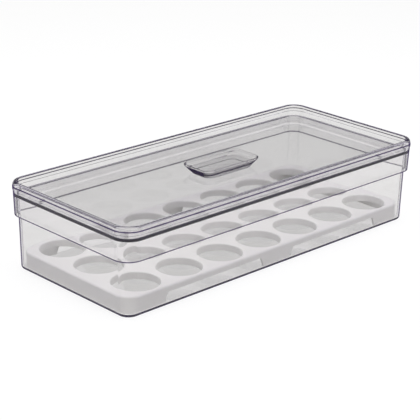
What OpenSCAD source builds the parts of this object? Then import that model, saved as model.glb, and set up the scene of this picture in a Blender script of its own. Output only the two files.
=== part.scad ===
// Egg keeper: a clear bin with a lift-off lid and a white tray of egg cups.
// +X runs along the length, +Z is up, and the origin is the centre of the footprint.
// Every wall ring is one section carried round four corner centres. The bin and
// the lid share theirs, and the tray's lie further in, for its rounder corners.

/* [Bin] */
// Length of the bin's footprint
foot_l = 363.8; // [240:0.2:520]
// Width of the bin's footprint
foot_w = 153.8; // [110:0.2:320]
// Height of the bin's rim above the table
bin_h = 70.6; // [40:0.1:120]
// Plan radius of the bin's corners at the foot
corner_r = 11; // [9:0.5:24]
// Lean of the bin's walls from the vertical, in degrees
draft = 1.28; // [0.3:0.01:3]
// Thickness of the bin's walls
bin_wall = 2.2; // [1.4:0.1:3]
// Thickness of the bin's floor
floor_t = 2.4; // [1.4:0.1:4]
// Radius of the rounded edge round the foot
foot_round = 3; // [1:0.1:5]

/* [Egg tray] */
// Distance between neighbouring cup centres. The tray holds as many cups as fit.
cup_pitch = 49.6; // [46:0.1:60]
// Diameter of a cup
cup_d = 41.6; // [34:0.1:42]
// Depth of a cup's collar below the tray's top face
collar_h = 7; // [4:0.5:9]
// Thickness of a cup's collar
collar_wall = 1.4; // [0.8:0.1:1.6]
// Radius of the soft lip round a cup
cup_lip = 1.2; // [0.4:0.1:1.6]
// Height of the tray above the bin's floor
tray_h = 15.6; // [14:0.1:30]
// Plan radius of the tray's corners
tray_r = 15; // [9:0.5:20]
// Thickness of the tray's top plate
tray_t = 2; // [1.7:0.1:3]
// Thickness of the tray's skirt
tray_wall = 2; // [1.2:0.1:2.4]
// Radius of the soft edge round the tray's top
tray_round = 2; // [0.5:0.1:2.5]
// Gap between the tray and the bin's wall at the floor
tray_gap = 0.6; // [0.5:0.1:1]
// Distance from the middle of the tray to the foot of a cut-out in its long skirt
notch_start = 16.9; // [8:0.1:24]
// Distance from the foot of a cut-out to the end of the tray
notch_end = 40.8; // [30:0.1:60]
// Height of a cut-out above the bin's floor
notch_h = 9.6; // [8:0.1:10.5]
// How far each end of a cut-out leans in on its way up
notch_lean = 4; // [2:0.1:5]

/* [Lid] */
// Thickness of the lid's recessed panel
panel_t = 2; // [1.4:0.1:3]
// Depth of the panel below the top of the rim
recess = 11.2; // [9.4:0.1:16]
// Width of the raised rim
rim_t = 3.8; // [3.6:0.1:4.4]
// Radius of the rim's outer top edge
rim_round = 3; // [0.5:0.1:3]
// Height of the flat bead that runs round the rim
bead_h = 2.6; // [1:0.1:4]
// Depth of the bead's upper edge below the top of the rim
bead_drop = 4.6; // [4:0.1:5]
// How far the bead stands out
bead_out = 0.4; // [0.2:0.1:0.8]
// Reach of the skirt below the bin's rim
skirt_drop = 18.4; // [10:0.1:26]
// Thickness of the skirt at its lower edge
skirt_wall = 1.9; // [1.4:0.1:2.6]
// How much further out the skirt stands at the rim than at its lower edge
skirt_flare = 0.9; // [0.2:0.05:1.2]
// Gap between the skirt and the bin's rim
lid_gap = 1.3; // [0.8:0.1:2]

/* [Grip] */
// Length of the grip at its top
grip_l = 70.8; // [56:0.2:90]
// Width of the grip at its top
grip_w = 36.4; // [30:0.2:50]
// Height of the grip above the panel
grip_h = 9.1; // [7.8:0.1:10.6]
// Flare of each end, from the foot of the grip to its top
flare_l = 7; // [3:0.1:8]
// Flare of each long side
flare_w = 4.5; // [2:0.1:5.5]
// Plan radius of the grip's top corners
grip_r = 7.5; // [5:0.1:9]
// Plan radius of the corners of the grip's foot
grip_foot_r = 5.5; // [4:0.1:7]
// Height of the upright lip round the grip's top
grip_lip = 1.2; // [0.6:0.1:1.6]
// Thickness of the grip's walls
grip_wall = 1.5; // [1.2:0.1:2]
// Depth of the recess in the grip's top
grip_recess = 3.6; // [2:0.1:4]
// Thickness of the web between that recess and the hollow below
grip_web = 2; // [1.4:0.1:2.4]

/* [Hidden] */

$fn = 96;
hull_fn = 32;
// Fewest straight steps in a rounded corner of a section
arc_steps = 4;
// Thickness of the slices that a hull joins
slice = 0.01;
edge_r = 0.5;
fillet_r = 1;
// Least width of a ring's inner edge, which a deck runs into by half of it
deck_lap = 0.6;

// Corner centres, and the bin's outer and inner offsets from them at a height
centre_x = foot_l / 2 - corner_r;
centre_y = foot_w / 2 - corner_r;
function bin_out(z) = corner_r + z * tan(draft);
function bin_in(z) = bin_out(z) - bin_wall;
floor_s = min(bin_in(floor_t) - fillet_r, bin_out(0) - foot_round) - deck_lap;

// Tray offsets and levels
tray_top = floor_t + tray_h;
tray_s = bin_in(floor_t) - tray_gap;
deck_s = tray_s - max(tray_wall, tray_round) - deck_lap;
tray_foot_r = 0.6;
// How much further in the tray's corner centres lie than the bin's
tray_in = max(tray_r - tray_s, 0);

// Cups in a row whose end collars stay inside a skirt that is reach from the middle
collar_d = cup_d + 2 * collar_wall;
function cups_in(reach) = floor((2 * reach - collar_d) / cup_pitch) + 1;
cups_x = cups_in(centre_x + tray_s - tray_wall);
cups_y = cups_in(centre_y + tray_s - tray_wall);

// Cut-outs in the tray's long skirts
notch_l = centre_x + tray_s - notch_end - notch_start;
notch_r = 1.5;

// Lid offsets and levels
panel_top = bin_h + panel_t;
lid_top = panel_top + recess;
skirt_z = bin_h - skirt_drop;
skirt_in = bin_out(bin_h) + lid_gap;
skirt_out = skirt_in + skirt_wall;
rim_s = skirt_out + skirt_flare;
rim_in = rim_s - rim_t;
bead_s = rim_s + bead_out;
bead_top = lid_top - bead_drop;
bead_z = bead_top - bead_h;
panel_s = min(rim_in - fillet_r, skirt_in - edge_r) - deck_lap;

// Height of the hollow under the grip, and the grip's sizes in plan
hollow_h = grip_h - grip_recess - grip_web;
flare = [flare_l, flare_w];
grip_size = [grip_l, grip_w];

bin_colour = [0.86, 0.88, 0.9, 0.35];
lid_colour = [0.84, 0.84, 0.9, 0.35];
tray_colour = [0.97, 0.97, 0.96];

// Geometry of the arc that rounds corner b of the path a, b, c
function unit(v) = v / norm(v);
function turned(v, a) = [v.x * cos(a) - v.y * sin(a), v.x * sin(a) + v.y * cos(a)];
function half_angle(a, b, c) = acos(unit(a - b) * unit(c - b)) / 2;
function arc_centre(a, b, c, r) =
    b + unit(unit(a - b) + unit(c - b)) * r / sin(half_angle(a, b, c));
function arc_end(a, b, c, r) = b + unit(a - b) * r / tan(half_angle(a, b, c));
function arc_points(a, b, c, r) =
    let (
        centre = arc_centre(a, b, c, r),
        start = arc_end(a, b, c, r) - centre,
        end = arc_end(c, b, a, r) - centre,
        sweep = atan2(cross(start, end), start * end),
        steps = ceil(arc_steps + r)
    )
    [for (k = [0:steps]) centre + turned(start, sweep * k / steps)];

// An outline with its corners rounded. It lists [x, y, radius] against the clock,
// and a radius of 0 leaves the corner sharp.
module section(corners) {
    count = len(corners);
    points = [for (c = corners) [c.x, c.y]];
    polygon([
        for (i = [0:count - 1])
            let (before = points[(i + count - 1) % count], after = points[(i + 1) % count])
            each corners[i].z > 0 ? arc_points(before, points[i], after, corners[i].z) : [points[i]]
    ]);
}

// Carries a section round the corner centres, or round centres that lie inset
// further in. Its x is the offset from the bin's corner centres.
module ring(inset = 0) {
    for (turn = [0:3]) {
        ahead = (turn % 2 == 0 ? centre_x : centre_y) - inset;
        aside = (turn % 2 == 0 ? centre_y : centre_x) - inset;
        rotate(90 * turn) translate([ahead, aside, 0]) {
            rotate_extrude(angle = 90) children();
            rotate([90, 0, 0]) linear_extrude(2 * aside) children();
        }
    }
}

// A rectangle with round corners, centred on the origin
module round_rect(size, r) {
    square([size.x, size.y - 2 * r], center = true);
    square([size.x - 2 * r, size.y], center = true);
    for (x = [-1, 1], y = [-1, 1])
        translate([x * (size.x / 2 - r), y * (size.y / 2 - r)]) circle(r);
}

// A flat plate that fills the inside of a ring whose inner edge is at offset s
module deck(s, z, t, inset = 0) {
    reach = s + deck_lap / 2;
    translate([0, 0, z]) linear_extrude(t)
        round_rect([2 * (centre_x + reach), 2 * (centre_y + reach)], reach + inset);
}

module cup_places() {
    for (i = [0:cups_x - 1], j = [0:cups_y - 1])
        translate([(i - (cups_x - 1) / 2) * cup_pitch, (j - (cups_y - 1) / 2) * cup_pitch, 0])
            children();
}

module bin_section() {
    section([
        [floor_s, 0, 0],
        [bin_out(0), 0, foot_round],
        [bin_out(bin_h), bin_h, edge_r],
        [bin_in(bin_h), bin_h, edge_r],
        [bin_in(floor_t), floor_t, fillet_r],
        [floor_s, floor_t, 0]
    ]);
}

module bin() {
    color(bin_colour) {
        ring() bin_section();
        deck(floor_s, 0, floor_t);
    }
}

module tray_section() {
    translate([tray_in, 0]) section([
        [tray_s - tray_wall, floor_t, 0],
        [tray_s, floor_t, tray_foot_r],
        [tray_s, tray_top, tray_round],
        [deck_s, tray_top, 0],
        [deck_s, tray_top - tray_t, 0],
        [tray_s - tray_wall, tray_top - tray_t, 0]
    ]);
}

// The bore of a cup, with its lip rolled over at the tray's top face
module cup_bore() {
    rotate_extrude()
        section([
            [0, tray_top - collar_h - 1, 0],
            [cup_d / 2, tray_top - collar_h - 1, 0],
            [cup_d / 2, tray_top, cup_lip],
            [cup_d / 2 + 2 * cup_lip, tray_top, 0],
            [cup_d / 2 + 2 * cup_lip, tray_top + 1, 0],
            [0, tray_top + 1, 0]
        ]);
}

// Two low cut-outs through both long sides of the skirt, open at the floor
module notches() {
    for (side = [-1, 1])
        translate([side * (notch_start + notch_l / 2), centre_y + tray_s + 1, floor_t])
            rotate([90, 0, 0]) linear_extrude(2 * (centre_y + tray_s + 1))
                section([
                    [-notch_l / 2, -1, 0],
                    [notch_l / 2, -1, 0],
                    [notch_l / 2, 0, 0],
                    [notch_l / 2 - notch_lean, notch_h, notch_r],
                    [notch_lean - notch_l / 2, notch_h, notch_r],
                    [-notch_l / 2, 0, 0]
                ]);
}

module egg_tray() {
    color(tray_colour) difference() {
        union() {
            difference() {
                ring(tray_in) tray_section();
                notches();
            }
            deck(deck_s, tray_top - tray_t, tray_t, tray_in);
            cup_places() translate([0, 0, tray_top - collar_h])
                cylinder(d = collar_d, h = collar_h - tray_t / 2);
        }
        cup_places() cup_bore();
    }
}

module lid_section() {
    section([
        [skirt_in, skirt_z, edge_r],
        [skirt_out, skirt_z, edge_r],
        [rim_s, bead_z - bead_out, 0],
        [bead_s, bead_z, 0],
        [bead_s, bead_top, 0],
        [rim_s, bead_top + bead_out, 0],
        [rim_s, lid_top, rim_round],
        [rim_in, lid_top, edge_r],
        [rim_in, panel_top, fillet_r],
        [panel_s, panel_top, 0],
        [panel_s, bin_h, 0],
        [skirt_in, bin_h, edge_r]
    ]);
}

module lid() {
    color(lid_colour) {
        ring() lid_section();
        deck(panel_s, bin_h, panel_t);
    }
}

// A flared block: its foot is smaller than its top by the flare at each side,
// and both are taken in by inset all round
module flared_block(height, lip, inset) {
    top = grip_size - 2 * [inset, inset];
    hull() {
        linear_extrude(slice) round_rect(top - 2 * flare, grip_foot_r - inset, $fn = hull_fn);
        translate([0, 0, height - lip]) linear_extrude(lip)
            round_rect(top, grip_r - inset, $fn = hull_fn);
    }
}

// A dish with flared walls: the web across it leaves a recess above and a hollow
// below, and the inner block runs out past the top and the foot
module lid_grip() {
    color(lid_colour) translate([0, 0, panel_top]) difference() {
        flared_block(grip_h, grip_lip, 0);
        difference() {
            translate([0, 0, -slice]) flared_block(grip_h + 1, grip_lip + 1, grip_wall);
            translate([-grip_l / 2, -grip_w / 2, hollow_h]) cube([grip_l, grip_w, grip_web]);
        }
    }
}

bin();
egg_tray();
lid();
lid_grip();
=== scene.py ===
import math

import bmesh
import bpy
from mathutils import Matrix, Quaternion, Vector


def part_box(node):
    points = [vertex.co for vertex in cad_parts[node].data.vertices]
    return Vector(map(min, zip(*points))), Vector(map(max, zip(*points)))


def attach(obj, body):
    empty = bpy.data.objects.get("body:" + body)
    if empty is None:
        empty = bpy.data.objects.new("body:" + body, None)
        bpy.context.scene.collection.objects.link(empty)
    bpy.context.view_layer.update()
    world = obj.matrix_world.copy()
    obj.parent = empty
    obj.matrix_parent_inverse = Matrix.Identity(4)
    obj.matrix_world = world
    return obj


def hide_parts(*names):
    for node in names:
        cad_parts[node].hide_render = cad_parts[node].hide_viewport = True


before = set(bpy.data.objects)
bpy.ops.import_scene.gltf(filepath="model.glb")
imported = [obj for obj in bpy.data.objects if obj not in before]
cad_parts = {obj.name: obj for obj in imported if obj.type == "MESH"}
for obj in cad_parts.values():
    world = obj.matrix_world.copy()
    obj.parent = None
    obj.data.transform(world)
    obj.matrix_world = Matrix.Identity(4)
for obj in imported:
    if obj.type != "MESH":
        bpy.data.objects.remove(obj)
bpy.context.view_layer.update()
print("frame loaded:", ", ".join(sorted(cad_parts)))


# the photo's view: where the camera stands and what it looks at
cameraView = {
    "target": (-0.00898, 0.00477, 0.03254),
    "azimuth": -44.132,     # degrees, 0 looks along +Y
    "elevation": 20.762,
    "distance": 1.33881,
    "lens": 121.58,         # mm, on a sensor of the width below
    "sensor": 36,
    "roll": 1.12,
    "clipStart": 0.01,
}


def addObject(name, data):
    made = bpy.data.objects.new(name, data)
    bpy.context.scene.collection.objects.link(made)
    return made


def placeCamera():
    turn = math.radians(cameraView["azimuth"])
    lift = math.radians(cameraView["elevation"])
    ground = math.cos(lift)
    back = Vector((math.sin(turn) * ground, -math.cos(turn) * ground, math.sin(lift)))
    data = bpy.data.cameras.new("photoCamera")
    data.lens = cameraView["lens"]
    data.sensor_width = cameraView["sensor"]
    data.clip_start = cameraView["clipStart"]
    camera = addObject("photoCamera", data)
    camera.location = Vector(cameraView["target"]) + back * cameraView["distance"]
    camera.rotation_mode = "QUATERNION"
    level = (-back).to_track_quat("-Z", "Y")
    camera.rotation_quaternion = level @ Quaternion((0, 0, 1), math.radians(cameraView["roll"]))
    bpy.context.scene.camera = camera


placeCamera()
print("camera placed")


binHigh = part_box("bin")[1]
trayLow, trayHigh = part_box("egg_tray")
lidLow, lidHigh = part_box("lid")
gripLow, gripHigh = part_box("lid_grip")

# a hair of air where one piece rests on another, so each clear piece keeps its own faces
airGap = 0.00003
# points closer than this are one point, and a rounded loop is found within the second
samePoint = 1e-6
sameLoop = 2e-5

binShape = {
    "footLength": 0.3638,
    "cornerRadius": 0.011,   # at the foot
    "lean": 1.28,            # degrees of draft
    "wall": 0.0022,
    "floor": 0.0024,
    "floorLap": 0.0025,      # from the wall's inner face to the flat of the floor
    "footRound": 0.003,
    "edgeRound": 0.0006,
    "fillet": 0.001,
    "cornerSteps": 16,
}
binHeight = binHigh.z

# the walls of the bin and the lid go round the same four corner centres
cornerX = binShape["footLength"] / 2 - binShape["cornerRadius"]
binCorner = (cornerX, cornerX - (binHigh.x - binHigh.y))


def leanOut(z):
    return binShape["cornerRadius"] + z * math.tan(math.radians(binShape["lean"]))


def offsetOf(point, corner):
    # how far a point lies outside the rectangle of corner centres
    dx = max(abs(point.x) - corner[0], 0)
    dy = max(abs(point.y) - corner[1], 0)
    return math.hypot(dx, dy)


def only(kind, geometry):
    return [part for part in geometry if isinstance(part, kind)]


def bevelEdges(bm, edges, radius, steps, **options):
    bmesh.ops.bevel(bm, geom=edges, offset=radius, segments=steps, profile=0.5,
                    affect="EDGES", material=-1, **options)


def wallRing(bm, profile, steps, corner=binCorner):
    # one section spun round a corner, run on to the middle planes and mirrored twice
    start = [bm.verts.new((corner[0] + s, corner[1], z)) for s, z in profile]
    edges = [bm.edges.new(pair) for pair in zip(start, start[1:])]
    spun = bmesh.ops.spin(bm, geom=start + edges, cent=(*corner, 0), axis=(0, 0, 1),
                          angle=math.pi / 2, steps=steps)
    last = only(bmesh.types.BMEdge, spun["geom_last"])
    for side, shift in ((edges, (0, -corner[1], 0)), (last, (-corner[0], 0, 0))):
        run = bmesh.ops.extrude_edge_only(bm, edges=side)
        bmesh.ops.translate(bm, vec=shift, verts=only(bmesh.types.BMVert, run["geom"]))
    for axis in ("X", "Y"):
        bmesh.ops.mirror(bm, geom=bm.verts[:] + bm.edges[:] + bm.faces[:], matrix=Matrix(),
                         merge_dist=samePoint, axis=axis)
    bmesh.ops.remove_doubles(bm, verts=bm.verts[:], dist=samePoint)
    bmesh.ops.recalc_face_normals(bm, faces=bm.faces[:])


def isAt(z, verts):
    return all(abs(v.co.z - z) < samePoint for v in verts)


def openEdgesAt(bm, z):
    return [e for e in bm.edges if e.is_boundary and isAt(z, e.verts)]


def fillDeck(bm, *heights):
    # closes the open loops at these heights with a flat face each
    for z in heights:
        bmesh.ops.edgeloop_fill(bm, edges=openEdgesAt(bm, z))
    bmesh.ops.recalc_face_normals(bm, faces=bm.faces[:])


def roundLoops(bm, loops, corner=binCorner):
    # rounds the loops that run round the corners, each given as offset, height, radius and steps
    for s, z, radius, steps in loops:
        def onLoop(v):
            return abs(offsetOf(v.co, corner) - s) < sameLoop and abs(v.co.z - z) < sameLoop
        edges = [e for e in bm.edges if all(onLoop(v) for v in e.verts)]
        bevelEdges(bm, edges, radius, steps, offset_type="OFFSET", clamp_overlap=False)


def toMesh(bm, name):
    mesh = bpy.data.meshes.new(name)
    bm.to_mesh(mesh)
    bm.free()
    return mesh


def makePiece(name, bm, body, node, sharpAngle=32):
    bmesh.ops.recalc_face_normals(bm, faces=bm.faces[:])
    mesh = toMesh(bm, name)
    for polygon in mesh.polygons:
        polygon.use_smooth = True
    mesh.set_sharp_from_angle(angle=math.radians(sharpAngle))
    piece = addObject(name, mesh)
    weighted = piece.modifiers.new("flatFacesStayFlat", "WEIGHTED_NORMAL")
    weighted.keep_sharp = True
    weighted.weight = 100
    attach(piece, body)
    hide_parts(node)
    print("made", name, len(mesh.polygons), "faces")
    return piece


def makeBin():
    shape = binShape
    wall, floor, rim = shape["wall"], shape["floor"], binHeight - airGap
    inner = leanOut(floor) - wall
    deck = inner - shape["floorLap"]
    profile = [
        (deck, 0),
        (leanOut(0), 0),
        (leanOut(rim), rim),
        (leanOut(rim) - wall, rim),
        (inner, floor),
        (deck, floor),
    ]
    bm = bmesh.new()
    wallRing(bm, profile, shape["cornerSteps"])
    fillDeck(bm, 0, floor)
    roundLoops(bm, (
        (leanOut(0), 0, shape["footRound"], 8),
        (leanOut(rim), rim, shape["edgeRound"], 3),
        (leanOut(rim) - wall, rim, shape["edgeRound"], 3),
        (inner, floor, shape["fillet"], 4),
    ))
    return makePiece("clearBin", bm, "bin_body", "bin")


lidShape = {
    "panel": 0.002,          # thickness of the recessed panel
    "panelLap": 0.0018,      # from the rim's inner face to the flat of the panel
    "rimWidth": 0.0038,
    "rimRound": 0.003,
    "rimInnerRound": 0.0008,
    "beadHeight": 0.0026,    # the flat bead that runs round the rim
    "beadDrop": 0.0046,      # from the top of the rim to the bead
    "beadOut": 0.0004,
    "skirtGap": 0.0013,      # between the skirt and the bin's rim
    "skirtWall": 0.0019,
    "edgeRound": 0.0005,
    "footRound": 0.0003,
    "fillet": 0.001,
    "cornerSteps": 16,
}


def makeLid():
    shape = lidShape
    top, foot = lidHigh.z, lidLow.z
    under, panel = binHeight, binHeight + shape["panel"]
    skirtIn = leanOut(binHeight) + shape["skirtGap"]
    skirtOut = skirtIn + shape["skirtWall"]
    beadS = lidHigh.x - cornerX
    rimS = beadS - shape["beadOut"]
    rimIn = rimS - shape["rimWidth"]
    beadTop = top - shape["beadDrop"]
    beadZ = beadTop - shape["beadHeight"]
    deck = rimIn - shape["panelLap"]
    profile = [
        (deck, under),
        (skirtIn, under),
        (skirtIn, foot),
        (skirtOut, foot),
        (rimS, beadZ - shape["beadOut"]),
        (beadS, beadZ),
        (beadS, beadTop),
        (rimS, beadTop + shape["beadOut"]),
        (rimS, top),
        (rimIn, top),
        (rimIn, panel),
        (deck, panel),
    ]
    bm = bmesh.new()
    wallRing(bm, profile, shape["cornerSteps"])
    fillDeck(bm, under, panel)
    roundLoops(bm, (
        (rimS, top, shape["rimRound"], 9),
        (rimIn, top, shape["rimInnerRound"], 4),
        (rimIn, panel, shape["fillet"], 4),
        (skirtIn, under, shape["edgeRound"], 3),
        (skirtIn, foot, shape["footRound"], 5),
        (skirtOut, foot, shape["footRound"], 5),
    ))
    return makePiece("clearLid", bm, "lid_body", "lid")


trayShape = {
    "cupsLong": 7,
    "cupsWide": 3,
    "pitch": 0.0496,
    "cupRadius": 0.0208,
    "collarDepth": 0.007,
    "collarWall": 0.0014,
    "lip": 0.0012,
    "lipSteps": 4,
    "cupSteps": 48,
    "plate": 0.002,
    "plateLap": 0.0006,      # from the skirt's inner face to the flat of the plate
    "skirt": 0.002,
    "topRound": 0.002,
    "footRound": 0.0006,
    "cornerRadius": 0.015,
    "cornerSteps": 18,
    "notchStart": 0.0169,    # the low cut-outs in the long skirts
    "notchEnd": 0.0408,
    "notchHeight": 0.0096,
    "notchLean": 0.004,
    "notchRound": 0.001,
    "notchSteps": 5,
    "notchSpare": 0.0003,    # by which the cutter is deeper than two skirts
}


def cupPlaces():
    shape = trayShape
    for i in range(shape["cupsLong"]):
        for j in range(shape["cupsWide"]):
            yield ((i - (shape["cupsLong"] - 1) / 2) * shape["pitch"],
                   (j - (shape["cupsWide"] - 1) / 2) * shape["pitch"], 0)


def makeCups(bm, top, under):
    # the section of one cup, its lip rolled over, is spun and then copied to all places
    shape = trayShape
    inner, outer = shape["cupRadius"], shape["cupRadius"] + shape["collarWall"]
    foot, lip = top - shape["collarDepth"], shape["lip"]
    corners = ((outer, 0, under), (outer, 0, foot), (inner, 0, foot), (inner, 0, top - lip))
    path = [bm.verts.new(point) for point in corners]
    for pair in zip(path, path[1:]):
        bm.edges.new(pair)
    bmesh.ops.spin(bm, geom=[path[-1]], cent=(inner + lip, 0, top - lip), axis=(0, 1, 0),
                   angle=math.pi / 2, steps=shape["lipSteps"])
    bmesh.ops.spin(bm, geom=bm.verts[:] + bm.edges[:], cent=(0, 0, 0), axis=(0, 0, 1),
                   angle=math.tau, steps=shape["cupSteps"], use_merge=True)
    first = bm.verts[:]
    cup = first + bm.edges[:] + bm.faces[:]
    places = list(cupPlaces())
    for place in places[1:]:
        copy = bmesh.ops.duplicate(bm, geom=cup)
        bmesh.ops.translate(bm, vec=place, verts=only(bmesh.types.BMVert, copy["geom"]))
    bmesh.ops.translate(bm, vec=places[0], verts=first)


def notchCutter():
    shape = trayShape
    bm = bmesh.new()
    length = trayHigh.x - shape["notchEnd"] - shape["notchStart"]
    depth = 2 * shape["skirt"] + shape["notchSpare"]
    for x, y in ((-1, -1), (-1, 1), (1, -1), (1, 1)):
        made = bmesh.ops.create_cube(bm, size=1)["verts"]
        for up in (-1, 1):
            width = length - up * 2 * shape["notchLean"]
            half = [v for v in made if v.co.z * up > 0]
            bmesh.ops.scale(bm, vec=(width, depth, 2 * shape["notchHeight"]), verts=half)
        place = (x * (shape["notchStart"] + length / 2), y * trayHigh.y, trayLow.z)
        bmesh.ops.translate(bm, vec=place, verts=made)
    high = trayLow.z + shape["notchHeight"]
    ends = [e for e in bm.edges if isAt(high, e.verts)
            and abs(e.verts[0].co.x - e.verts[1].co.x) < samePoint]
    bevelEdges(bm, ends, shape["notchRound"], shape["notchSteps"])
    return toMesh(bm, "notchCutter")


def cutNotches(whole):
    # cuts the tray's mesh with the cutter and clears both away
    blank = addObject("trayBlank", whole)
    cutter = addObject("notchCutter", notchCutter())
    cut = blank.modifiers.new("notches", "BOOLEAN")
    cut.operation, cut.solver, cut.object = "DIFFERENCE", "EXACT", cutter
    bpy.context.view_layer.update()
    evaluated = blank.evaluated_get(bpy.context.evaluated_depsgraph_get())
    result = bpy.data.meshes.new_from_object(evaluated)
    for mesh in (cutter.data, blank.data):
        bpy.data.meshes.remove(mesh)
    return result


def makeTray():
    shape = trayShape
    top, foot = trayHigh.z, trayLow.z + airGap
    under = top - shape["plate"]
    outer = shape["cornerRadius"]
    corner = (trayHigh.x - outer, trayHigh.y - outer)
    inner = outer - shape["skirt"]
    deck = inner - shape["plateLap"]
    profile = [
        (deck, under),
        (inner, under),
        (inner, foot),
        (outer, foot),
        (outer, top),
        (deck, top),
    ]
    bm = bmesh.new()
    wallRing(bm, profile, shape["cornerSteps"], corner)
    roundLoops(bm, (
        (outer, top, shape["topRound"], 6),
        (outer, foot, shape["footRound"], 3),
    ), corner)
    skirt = toMesh(bm, "traySkirt")

    # the plate is filled in between the cups and the skirt, above and below
    bm = bmesh.new()
    makeCups(bm, top, under)
    bm.from_mesh(skirt)
    bpy.data.meshes.remove(skirt)
    for z in (under, top):
        bmesh.ops.triangle_fill(bm, use_beauty=True, edges=openEdgesAt(bm, z))
    bmesh.ops.recalc_face_normals(bm, faces=bm.faces[:])

    cut = cutNotches(toMesh(bm, "trayWhole"))
    bm = bmesh.new()
    bm.from_mesh(cut)
    bpy.data.meshes.remove(cut)
    return makePiece("whiteTray", bm, "tray_body", "egg_tray")


gripShape = {
    "flareLong": 0.007,      # how far each end leans out above the foot
    "flareWide": 0.0045,
    "cornerRadius": 0.0068,
    "lip": 0.0012,           # the upright top of the walls
    "wall": 0.0015,
    "recess": 0.0036,
    "web": 0.002,            # between the recess and the hollow under it
    "edgeRound": 0.0003,
    "edgeSteps": 3,
    "edgeAngle": 30,         # degrees, from which an edge is rounded
    "cornerSteps": 10,
}


def faceFacing(bm, z, up):
    # the flat face at this height that looks up or down
    bm.normal_update()
    return max((f for f in bm.faces if isAt(z, f.verts)), key=lambda f: f.normal.z * up)


def pushFace(bm, face, rise, narrow=(1, 1)):
    # carries a face up or down, narrowing it on the way, and leaves walls behind it
    moved = bmesh.ops.extrude_face_region(bm, geom=[face])["geom"]
    bmesh.ops.delete(bm, geom=[face], context="FACES_ONLY")
    verts = only(bmesh.types.BMVert, moved)
    bmesh.ops.translate(bm, vec=(0, 0, rise), verts=verts)
    bmesh.ops.scale(bm, vec=(*narrow, 1), verts=verts)
    return only(bmesh.types.BMFace, moved)[0]


def insetFace(bm, face, thickness):
    bmesh.ops.inset_region(bm, faces=[face], thickness=thickness, use_even_offset=True)


def makeGrip():
    shape = gripShape
    size = gripHigh - gripLow
    foot, shoulder = gripLow.z + airGap, gripHigh.z - shape["lip"]
    slopeHeight = shoulder - foot
    hollow = size.z - shape["recess"] - shape["web"]
    inside = (size.x / 2 - shape["wall"], size.y / 2 - shape["wall"])
    flare = (shape["flareLong"], shape["flareWide"])

    bm = bmesh.new()
    verts = bmesh.ops.create_cube(bm, size=1)["verts"]
    bmesh.ops.scale(bm, vec=(size.x, size.y, slopeHeight), verts=verts)
    bmesh.ops.translate(bm, vec=(0, 0, (shoulder + foot) / 2), verts=verts)
    footScale = (1 - 2 * flare[0] / size.x, 1 - 2 * flare[1] / size.y, 1)
    bmesh.ops.scale(bm, vec=footScale, verts=[v for v in bm.verts if isAt(foot, [v])])
    uprights = [e for e in bm.edges if not isAt(e.verts[0].co.z, e.verts)]
    bevelEdges(bm, uprights, shape["cornerRadius"], shape["cornerSteps"])
    pushFace(bm, faceFacing(bm, shoulder, 1), shape["lip"])

    # the recess goes straight down past the lip, then follows the slope of the walls
    brim = faceFacing(bm, gripHigh.z, 1)
    insetFace(bm, brim, shape["wall"])
    lower = pushFace(bm, brim, -shape["lip"])
    down = shape["recess"] - shape["lip"]
    narrowed = [1 - f * down / slopeHeight / i for f, i in zip(flare, inside)]
    pushFace(bm, lower, -down, narrowed)

    # the hollow opens out again above the foot
    sole = faceFacing(bm, foot, -1)
    insetFace(bm, sole, shape["wall"])
    widened = [1 + f * hollow / slopeHeight / (i - f) for f, i in zip(flare, inside)]
    pushFace(bm, sole, hollow, widened)

    bmesh.ops.recalc_face_normals(bm, faces=bm.faces[:])
    least = math.radians(shape["edgeAngle"])
    sharp = [e for e in bm.edges
             if e.calc_face_angle(0) > least and e.verts[0].co.z > foot + samePoint]
    bevelEdges(bm, sharp, shape["edgeRound"], shape["edgeSteps"])
    return makePiece("clearGrip", bm, "lid_body", "lid_grip")


def newMaterial(name):
    material = bpy.data.materials.new(name)
    material.use_nodes = True
    return material, material.node_tree.nodes, material.node_tree.links


def addNode(nodes, kind, values=(), operation=None):
    # a shader node with the values of some of its sockets
    node = nodes.new("ShaderNode" + kind)
    if operation:
        node.operation = operation
    for socket, value in dict(values).items():
        node.inputs[socket].default_value = value
    return node


def combine(nodes, links, operation, *given):
    # the result of a math node that is fed by sockets and plain numbers
    node = addNode(nodes, "Math", operation=operation)
    for socket, value in zip(node.inputs, given):
        if isinstance(value, bpy.types.NodeSocket):
            links.new(value, socket)
        else:
            socket.default_value = value
    return node.outputs[0]


def blend(nodes, links, share, first, second):
    # mixes two shaders by a share of the second
    mix = addNode(nodes, "MixShader")
    for socket, source in zip(mix.inputs, (share, first, second)):
        links.new(source, socket)
    return mix.outputs["Shader"]


# clear moulded plastic: a violet cast that only shows where the wall is long or seen on edge, and
# a painted dark violet shade on upright walls seen on edge
clearLook = {
    "tint": (0.987, 0.985, 0.98, 1),
    "ior": 1.56,
    "roughness": 0.02,
    "depthColour": (0.5, 0.36, 0.8, 1),
    "density": 12,           # per metre
    # painted shade on edge-on walls: its dark colour, the facing where it starts and ends, and its
    # share
    "paintedShadeColour": (0.05, 0.03, 0.1, 1),
    "paintedShadeFrom": 0.42,        # facing where the painted shade on an upright wall starts
    "paintedShadeTo": 0.75,
    "paintedShadeShare": 0.92,
    "uprightTo": 0.2,        # upward part of the normal up to which a wall counts as upright
    "flatFrom": 0.6,         # and from which it counts as flat
    "shadowTint": (0.985, 0.985, 0.985, 1),
    "rippleSize": 26,        # of the faint moulding ripple, per metre
    "rippleStrength": 0.02,
    "rippleDepth": 0.002,
}

# painted shade: two dark lines painted round the outside of the lid, where its edges look dark
lidPaintedShadeLines = {
    "heights": (lidLow.z + 0.0005, lidHigh.z - 0.0042),
    "halfWidths": (0.0006, 0.0005),
    "offset": 0.0148,        # least distance outside the corner centres
    "share": 0.93,
}


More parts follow.
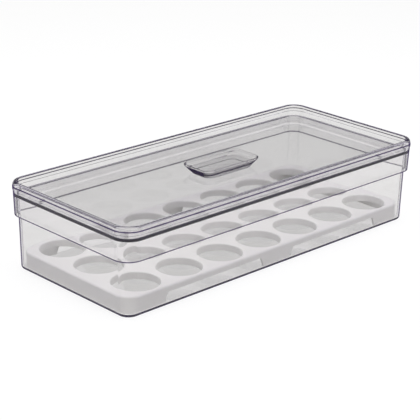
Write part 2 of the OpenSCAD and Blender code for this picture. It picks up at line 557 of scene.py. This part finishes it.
def paintedShadeLines(nodes, links, place, lines):
    # the share of painted shade on the lines: by height, and only far enough outside the corner
    # centres
    folded = addNode(nodes, "VectorMath", operation="ABSOLUTE")
    beyond = addNode(nodes, "VectorMath", {1: (*binCorner, 1)}, "SUBTRACT")
    outside = addNode(nodes, "VectorMath", operation="MAXIMUM")
    offset = addNode(nodes, "VectorMath", operation="LENGTH")
    split = addNode(nodes, "SeparateXYZ")
    links.new(place.outputs["Object"], folded.inputs[0])
    links.new(folded.outputs["Vector"], beyond.inputs[0])
    links.new(beyond.outputs["Vector"], outside.inputs[0])
    links.new(outside.outputs["Vector"], offset.inputs[0])
    links.new(place.outputs["Object"], split.inputs["Vector"])
    outer = combine(nodes, links, "GREATER_THAN", offset.outputs["Value"], lines["offset"])
    bands = [combine(nodes, links, "COMPARE", split.outputs["Z"], middle, half)
             for middle, half in zip(lines["heights"], lines["halfWidths"])]
    onLine = combine(nodes, links, "ADD", *bands)
    seen = combine(nodes, links, "MULTIPLY", onLine, outer)
    return combine(nodes, links, "MULTIPLY", seen, lines["share"])


def paintedEdgeShade(nodes, links, place, look):
    # painted shade: upright walls are painted dark where they turn edge-on, and flat ones stay
    # clear
    turned = addNode(nodes, "LayerWeight", {"Blend": 0.5})
    edge = addNode(nodes, "MapRange", {
        "From Min": look["paintedShadeFrom"], "From Max": look["paintedShadeTo"], "To Max": look["paintedShadeShare"]})
    upright = addNode(nodes, "MapRange", {
        "From Min": look["uprightTo"], "From Max": look["flatFrom"], "To Min": 1, "To Max": 0})
    edge.interpolation_type = upright.interpolation_type = "SMOOTHSTEP"
    normal = addNode(nodes, "SeparateXYZ")
    links.new(turned.outputs["Facing"], edge.inputs["Value"])
    links.new(place.outputs["Normal"], normal.inputs["Vector"])
    links.new(normal.outputs["Z"], upright.inputs["Value"])
    return combine(nodes, links, "MULTIPLY", edge.outputs["Result"], upright.outputs["Result"])


def clearPlastic(name, lines=None):
    look = clearLook
    material, nodes, links = newMaterial(name)
    shader = nodes["Principled BSDF"]
    output = nodes["Material Output"]
    shader.inputs["Base Color"].default_value = look["tint"]
    shader.inputs["IOR"].default_value = look["ior"]
    shader.inputs["Roughness"].default_value = look["roughness"]
    shader.inputs["Transmission Weight"].default_value = 1
    place = addNode(nodes, "TexCoord")
    ripple = addNode(nodes, "TexNoise", {"Scale": look["rippleSize"], "Detail": 1})
    bump = addNode(nodes, "Bump", {
        "Strength": look["rippleStrength"], "Distance": look["rippleDepth"]})
    links.new(place.outputs["Object"], ripple.inputs["Vector"])
    links.new(ripple.outputs["Fac"], bump.inputs["Height"])
    links.new(bump.outputs["Normal"], shader.inputs["Normal"])

    # painted shade: a dark diffuse mixed in on edge-on upright walls and on the lid's painted
    # lines
    share = paintedEdgeShade(nodes, links, place, look)
    if lines:
        share = combine(nodes, links, "MAXIMUM", share, paintedShadeLines(nodes, links, place, lines))
    paintedShadeDiffuse = addNode(nodes, "BsdfDiffuse", {"Color": look["paintedShadeColour"]})
    paintedShadeMix = blend(nodes, links, share, shader.outputs["BSDF"], paintedShadeDiffuse.outputs["BSDF"])

    # lamps shine through the walls onto what is inside
    rays = addNode(nodes, "LightPath")
    through = addNode(nodes, "BsdfTransparent", {"Color": look["shadowTint"]})
    surface = blend(nodes, links, rays.outputs["Is Shadow Ray"], paintedShadeMix, through.outputs["BSDF"])
    depth = addNode(nodes, "VolumeAbsorption", {
        "Color": look["depthColour"], "Density": look["density"]})
    links.new(surface, output.inputs["Surface"])
    links.new(depth.outputs["Volume"], output.inputs["Volume"])
    return material


# white moulded plastic with a satin grain and a faint drift of colour
whiteLook = {
    "shade": (0.90, 0.885, 0.865, 1),
    "light": (0.93, 0.915, 0.90, 1),
    "driftFrom": 0.3,
    "driftTo": 0.7,
    "roughness": (0.3, 0.38),
    "cloudSize": 18,         # per metre
    "cloudDetail": 3,
    "grainSize": 900,
    "grainDetail": 2,
    "grainStrength": 0.25,
    "grainDepth": 0.0002,
}


def whitePlastic():
    look = whiteLook
    material, nodes, links = newMaterial("whiteTrayPlastic")
    shader = nodes["Principled BSDF"]
    place = addNode(nodes, "TexCoord")
    cloud = addNode(nodes, "TexNoise", {"Scale": look["cloudSize"], "Detail": look["cloudDetail"]})
    ramp = addNode(nodes, "ValToRGB")
    stops = ((look["driftFrom"], look["shade"]), (look["driftTo"], look["light"]))
    for element, stop in zip(ramp.color_ramp.elements, stops):
        element.position, element.color = stop
    fine = addNode(nodes, "TexNoise", {"Scale": look["grainSize"], "Detail": look["grainDetail"]})
    low, high = look["roughness"]
    shine = addNode(nodes, "MapRange", {"To Min": low, "To Max": high})
    bump = addNode(nodes, "Bump", {
        "Strength": look["grainStrength"], "Distance": look["grainDepth"]})
    for noise in (cloud, fine):
        links.new(place.outputs["Object"], noise.inputs["Vector"])
    links.new(cloud.outputs["Fac"], ramp.inputs["Fac"])
    links.new(ramp.outputs["Color"], shader.inputs["Base Color"])
    links.new(fine.outputs["Fac"], shine.inputs["Value"])
    links.new(shine.outputs["Result"], shader.inputs["Roughness"])
    links.new(fine.outputs["Fac"], bump.inputs["Height"])
    links.new(bump.outputs["Normal"], shader.inputs["Normal"])
    return material


clearBin = makeBin()
clearLid = makeLid()
whiteTray = makeTray()
clearGrip = makeGrip()

clear = clearPlastic("clearMouldedPlastic")
# the lid's plastic also carries the two lines of painted shade
paintedLinesPlastic = clearPlastic("clearLidPlastic", lidPaintedShadeLines)
white = whitePlastic()
looks = ((clearBin, clear), (clearLid, paintedLinesPlastic), (clearGrip, clear), (whiteTray, white))
for piece, material in looks:
    piece.data.materials.clear()
    piece.data.materials.append(material)
print("materials set")


studio = {
    "floorSize": 12,
    "floorDrop": 0.0002,     # below the foot of the bin
    "floorColour": (0.93, 0.93, 0.93, 1),
    "floorGlow": 0.85,       # share of the floor that is plain white to the eye
    "floorThrough": (0.77, 0.77, 0.75, 1),   # the floor as the plastic shows it
    "wallTop": 0.02,         # sine of the height where the white surround ends
    "domeStart": 0.2,
    "domeGrey": 0.26,
}
plainWhite = (1, 1, 1, 1)


def makeFloor():
    bm = bmesh.new()
    bmesh.ops.create_grid(bm, x_segments=1, y_segments=1, size=studio["floorSize"] / 2)
    floor = addObject("studioFloor", toMesh(bm, "studioFloor"))
    floor.location.z = -studio["floorDrop"]

    # it glows plain white to the camera and paler grey through the plastic, and keeps the shadow
    material, nodes, links = newMaterial("paleFloor")
    nodes.remove(nodes["Principled BSDF"])
    rays = addNode(nodes, "LightPath").outputs
    diffuse = addNode(nodes, "BsdfDiffuse", {"Color": studio["floorColour"]})
    glow = addNode(nodes, "Emission")
    shade = addNode(nodes, "Mix")
    shade.data_type = "RGBA"
    shade.inputs["A"].default_value = studio["floorThrough"]
    shade.inputs["B"].default_value = plainWhite
    links.new(rays["Is Camera Ray"], shade.inputs["Factor"])
    links.new(shade.outputs["Result"], glow.inputs["Color"])
    seen = combine(nodes, links, "MAXIMUM", rays["Is Camera Ray"], rays["Is Transmission Ray"])
    seen = combine(nodes, links, "MAXIMUM", seen, rays["Is Glossy Ray"])
    share = combine(nodes, links, "MULTIPLY", seen, studio["floorGlow"])
    surface = blend(nodes, links, share, diffuse.outputs["BSDF"], glow.outputs["Emission"])
    links.new(surface, nodes["Material Output"].inputs["Surface"])
    floor.data.materials.append(material)


def makeSurround():
    # white low down all round, a grey dome above, and plain white where the camera looks
    world = bpy.data.worlds.new("studioSurround")
    bpy.context.scene.world = world
    world.use_nodes = True
    nodes, links = world.node_tree.nodes, world.node_tree.links
    background = nodes["Background"]
    background.inputs["Color"].default_value = plainWhite
    coords = addNode(nodes, "TexCoord")
    split = addNode(nodes, "SeparateXYZ")
    ramp = addNode(nodes, "MapRange", {
        "From Min": studio["wallTop"], "From Max": studio["domeStart"],
        "To Min": 1, "To Max": studio["domeGrey"]})
    rays = addNode(nodes, "LightPath")
    links.new(coords.outputs["Generated"], split.inputs["Vector"])
    links.new(split.outputs["Z"], ramp.inputs["Value"])
    level = combine(nodes, links, "MAXIMUM", ramp.outputs["Result"], rays.outputs["Is Camera Ray"])
    links.new(level, background.inputs["Strength"])


lamps = (
    # name, place, width, height, watts
    ("softboxOverhead", (0.2, 0.1, 1.5), 1.6, 1.2, 23.5),
    ("softboxLeft", (-1.5, 0.2, 0.9), 0.9, 0.9, 8.5),
    ("softboxFront", (0.4, -1.6, 0.9), 0.9, 0.9, 8.5),
)
lampAim = (0, 0, 0.05)


def makeLamps():
    for name, place, width, height, watts in lamps:
        data = bpy.data.lights.new(name, "AREA")
        data.shape, data.size, data.size_y, data.energy = "RECTANGLE", width, height, watts
        lamp = addObject(name, data)
        lamp.location = place
        lamp.visible_glossy = False
        lamp.visible_transmission = False
        lamp.rotation_mode = "QUATERNION"
        lamp.rotation_quaternion = (Vector(lampAim) - Vector(place)).to_track_quat("-Z", "Y")


# enough bounces for light that is led along inside the clear walls
bounces = {
    "max_bounces": 56,
    "glossy_bounces": 48,
    "transmission_bounces": 48,
    "transparent_max_bounces": 16,
}

makeFloor()
makeSurround()
makeLamps()
bpy.context.scene.view_settings.view_transform = "Standard"
for limit, count in bounces.items():
    setattr(bpy.context.scene.cycles, limit, count)
print("studio lit")
